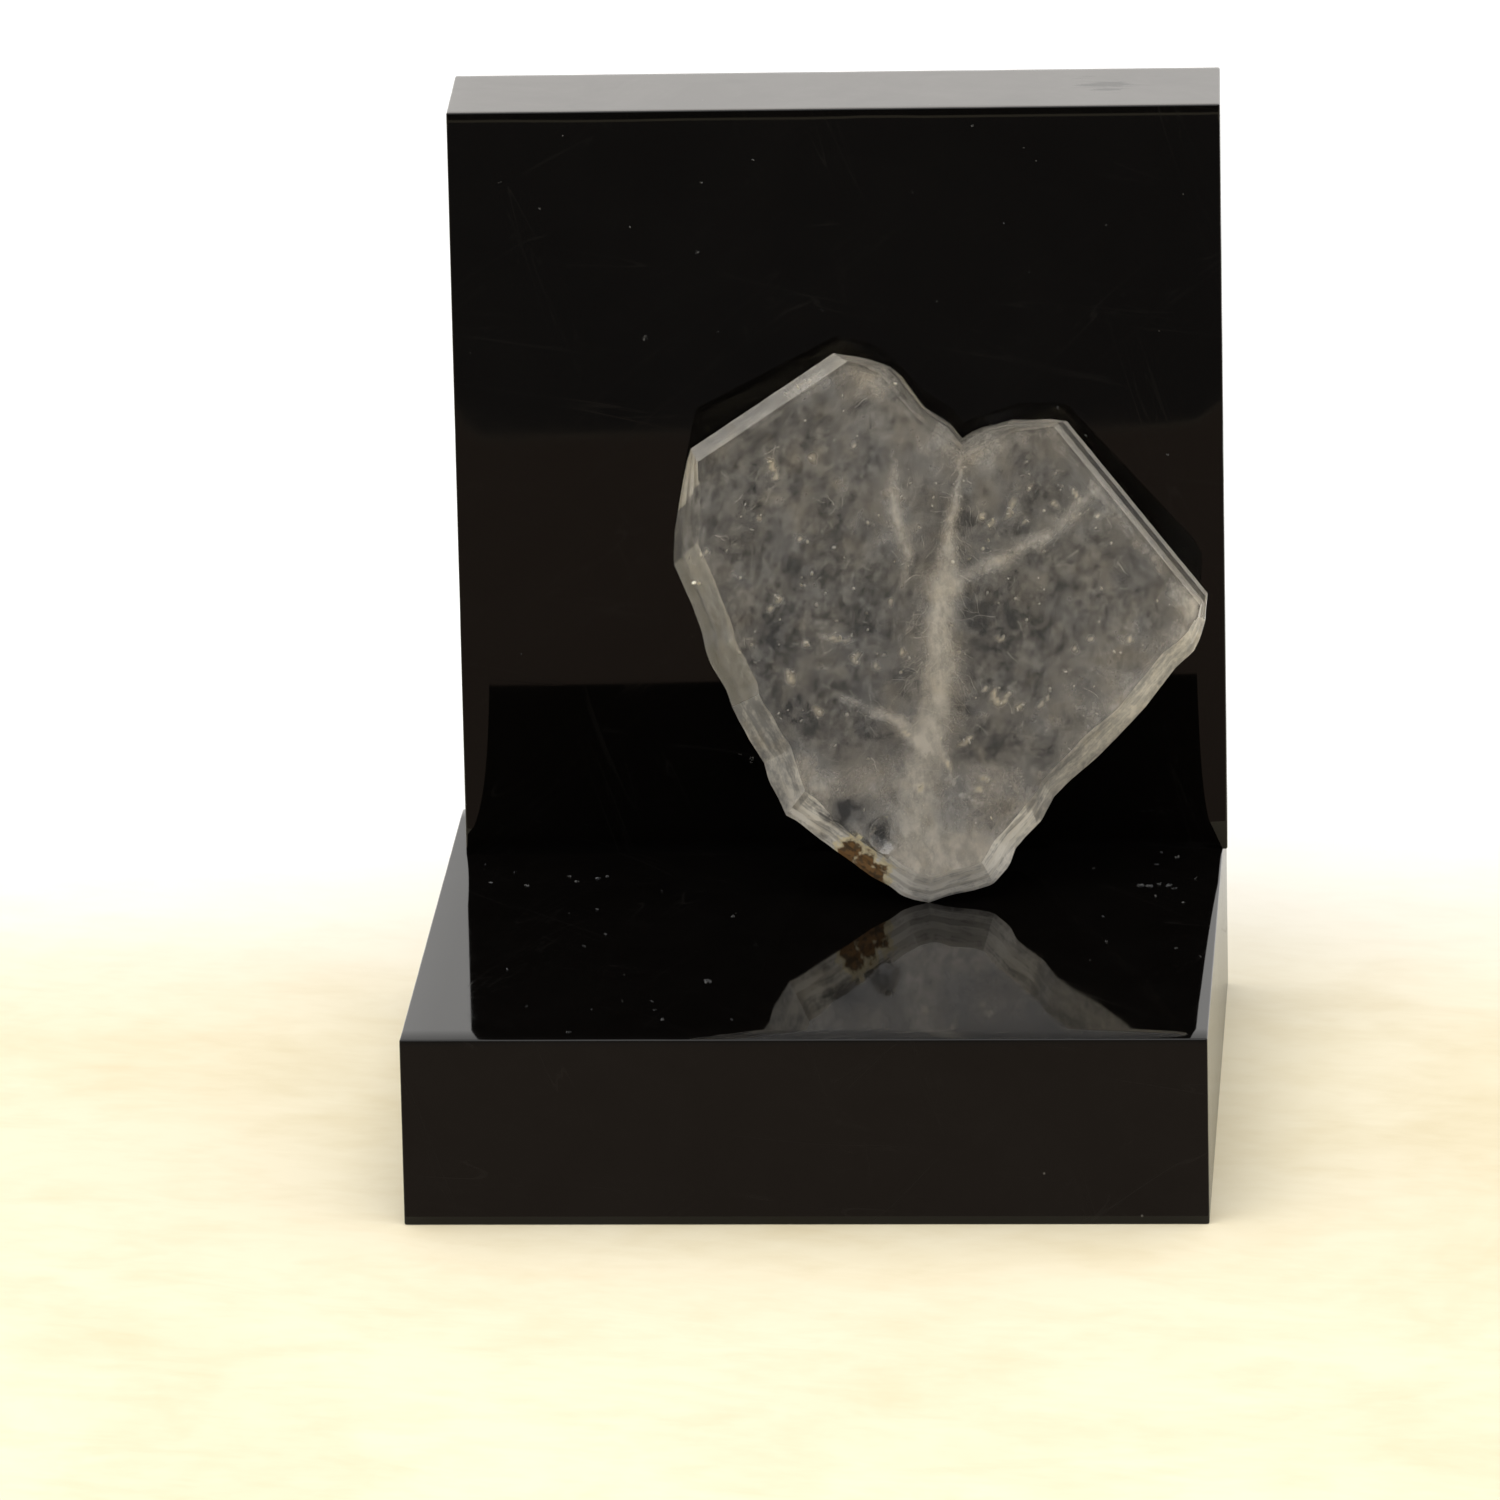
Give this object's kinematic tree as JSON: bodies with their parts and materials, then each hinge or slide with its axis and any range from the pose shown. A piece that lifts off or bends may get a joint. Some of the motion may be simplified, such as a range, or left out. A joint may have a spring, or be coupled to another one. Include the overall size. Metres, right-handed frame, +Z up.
{
  "type": "japan law twin quartz",
  "caption": "Flattened, heart-shaped twin of clear quartz crystals, leaning on the upright of a small black acrylic display stand.",
  "frame": {"origin": "centre of the base plate's underside", "axes": "+Z up, +X to the stand's right seen from its front, +Y to the back, where the upright stands; the crystal's main face looks towards -Y"},
  "size_m": [0.0402, 0.0408, 0.0491],
  "materials": {
    "black_acrylic": "polished black cast acrylic with faint scratches and dust",
    "quartz": "clear, slightly smoky quartz with milky veils along the twin seam"
  },
  "bodies": {
    "root": {"base_plate": "black_acrylic", "back_plate": "black_acrylic", "quartz_twin": "quartz"}
  },
  "joints": []
}
